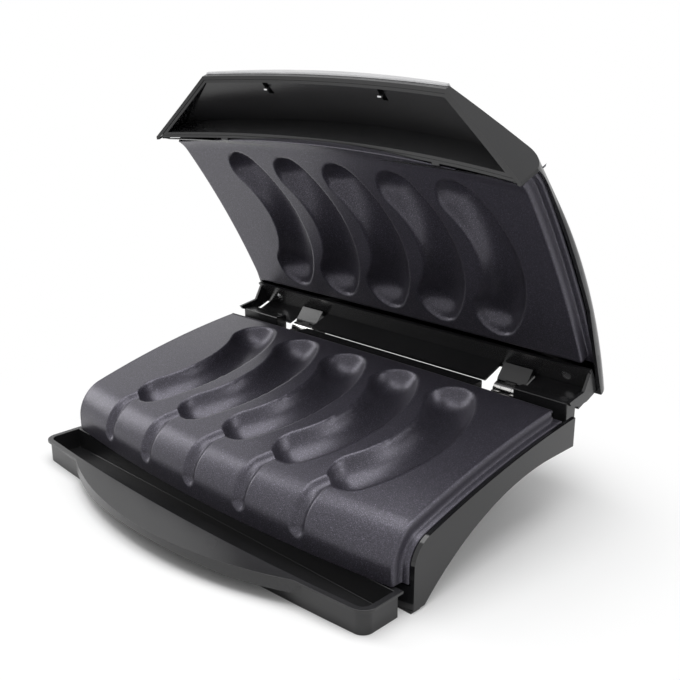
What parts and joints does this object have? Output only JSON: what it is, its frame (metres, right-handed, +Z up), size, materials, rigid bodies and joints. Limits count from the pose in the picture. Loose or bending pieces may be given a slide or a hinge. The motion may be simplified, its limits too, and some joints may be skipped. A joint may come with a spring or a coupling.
{
  "type": "contact sausage grill",
  "caption": "Clamshell contact grill with facing cast plates of curved sausage moulds, a hinged domed lid held open, and a drip tray in front.",
  "frame": {"origin": "on the table, below the middle of the open grill's bounding box", "axes": "+X to the right seen from the front, +Y to the rear, +Z up; the lid is open at rest"},
  "size_m": [0.315, 0.2712, 0.2677],
  "materials": {
    "nonstick_casting": "satin",
    "gloss_black": "gloss",
    "satin_black": "satin",
    "stainless_strip": "brushed",
    "bright_steel": "satin",
    "hinge_steel": "satin",
    "element_sheath": "matte",
    "black_rubber": "matte",
    "white_insulator": "matte"
  },
  "bodies": {
    "base": {"base_tub": "satin_black", "cord_gland": "black_rubber", "front_foot_pads": "black_rubber", "fuse_holder": "white_insulator", "left_base_hinge_leaf": "hinge_steel", "left_hinge_pin": "hinge_steel", "left_side_panel": "gloss_black", "lower_element_clips": "bright_steel", "lower_element_screws": "bright_steel", "lower_grill_plate": "nonstick_casting", "lower_heat_reflector": "bright_steel", "lower_heating_element": "element_sheath", "rear_bridge": "satin_black", "rear_feet": "black_rubber", "right_base_hinge_leaf": "hinge_steel", "right_hinge_pin": "hinge_steel", "right_side_panel": "gloss_black", "terminal_block": "white_insulator", "thermal_fuse": "bright_steel", "thermostat": "bright_steel", "thermostat_seat": "white_insulator"},
    "lid": {"handle_liner": "satin_black", "left_hinge_cover": "satin_black", "left_lid_hinge_leaf": "hinge_steel", "lid_rear_cover": "satin_black", "lid_screws": "bright_steel", "lid_shell": "gloss_black", "lid_top_panel": "stainless_strip", "panel_tabs": "bright_steel", "right_hinge_cover": "satin_black", "right_lid_hinge_leaf": "hinge_steel", "upper_element_clips": "bright_steel", "upper_element_screws": "bright_steel", "upper_grill_plate": "nonstick_casting", "upper_heat_reflector": "bright_steel", "upper_heating_element": "element_sheath", "vent_strip": "satin_black"},
    "tray": {"drip_tray": "satin_black"}
  },
  "joints": [
    {"name": "lid_hinge", "type": "hinge", "parent": "base", "child": "lid", "pos_m": [0, 0.09265, 0.064], "axis": [1, 0, 0], "range_deg": [0, 69.3]},
    {"name": "tray_slide", "type": "slide", "parent": "base", "child": "tray", "axis": [0, -1, 0], "range_m": [0, 0.06]}
  ]
}
